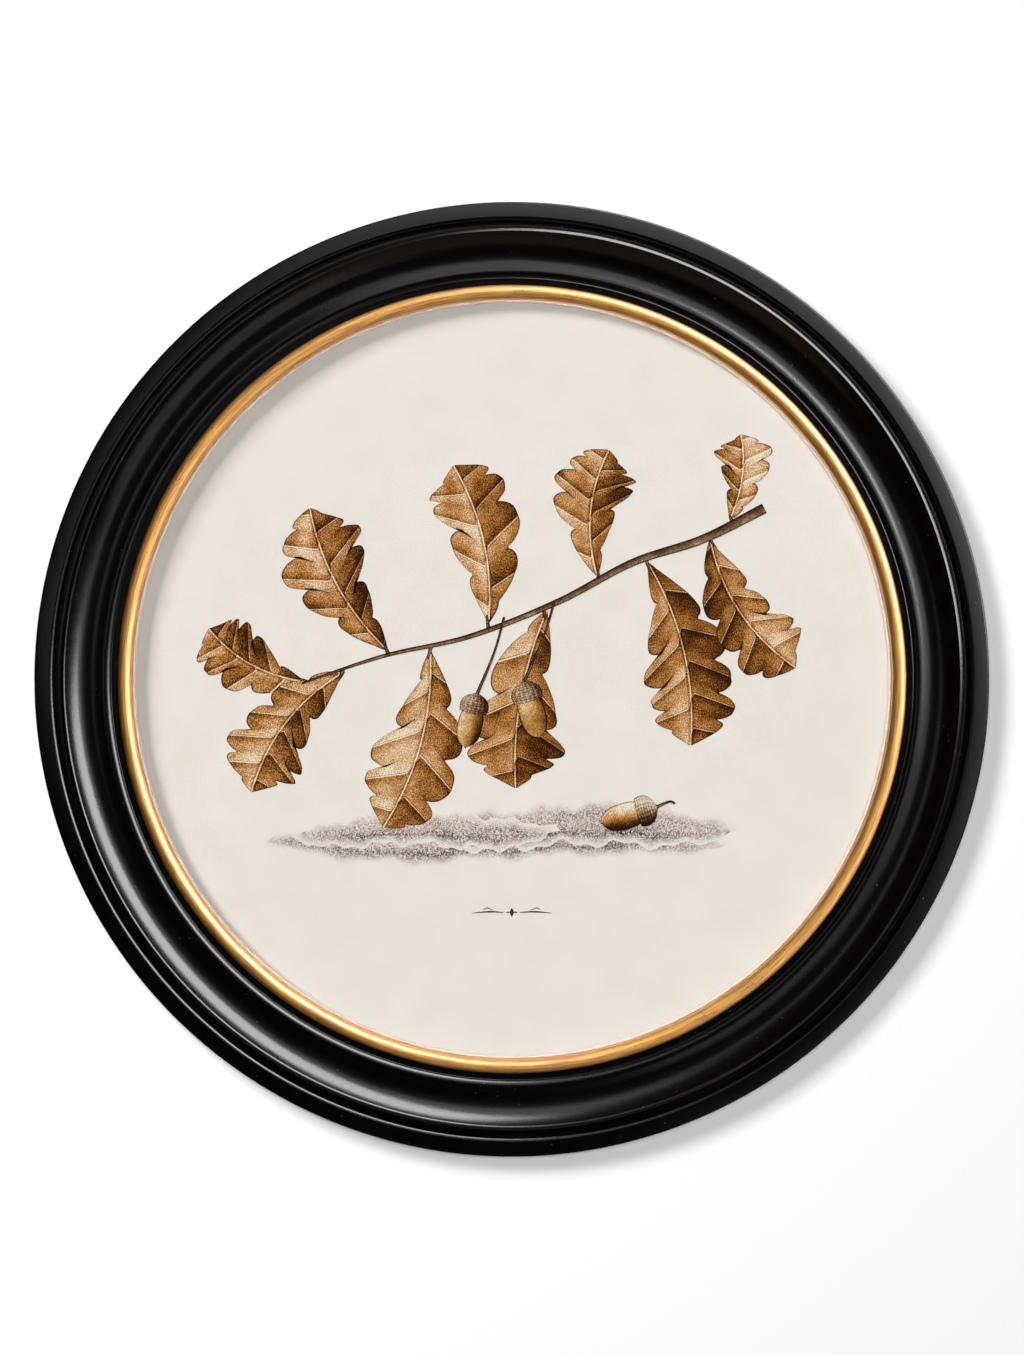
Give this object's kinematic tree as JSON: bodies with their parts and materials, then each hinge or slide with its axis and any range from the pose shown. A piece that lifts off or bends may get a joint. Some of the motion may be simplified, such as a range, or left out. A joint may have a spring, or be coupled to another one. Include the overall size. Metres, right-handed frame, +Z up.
{
  "type": "round framed print",
  "caption": "Round wall picture: black scooped moulding with a gilt sight bead round a glazed, aged paper print of an oak sprig, with backing board and sawtooth hanger.",
  "frame": {"origin": "middle of the sawtooth hanger bar's rear face, which lies against the wall; the wall is the plane y = 0", "axes": "+Z up, +X to the right of someone facing the picture, +Y into the wall; the picture faces -Y"},
  "size_m": [0.49, 0.024, 0.49],
  "materials": {
    "black_moulding": "satin black lacquer",
    "gilt": "satin gilt paint over red-brown bole, sealed with shellac",
    "glazing": "clear polished",
    "paper": "aged uncoated print",
    "board": "hardboard, plain",
    "steel": "zinc plated",
    "rubber": "matt"
  },
  "bodies": {
    "root": {"frame_moulding": "black_moulding", "gilt_slip": "gilt", "glazing": "glazing", "print_sheet": "paper", "backing_board": "board", "hanger_plate": "steel", "hanger_nail_left": "steel", "hanger_nail_right": "steel", "bumper_left": "rubber", "bumper_right": "rubber", "framers_point_01": "steel", "framers_point_02": "steel", "framers_point_03": "steel", "framers_point_04": "steel", "framers_point_05": "steel", "framers_point_06": "steel", "framers_point_07": "steel", "framers_point_08": "steel", "framers_point_09": "steel", "framers_point_10": "steel", "framers_point_11": "steel", "framers_point_12": "steel"}
  },
  "joints": []
}
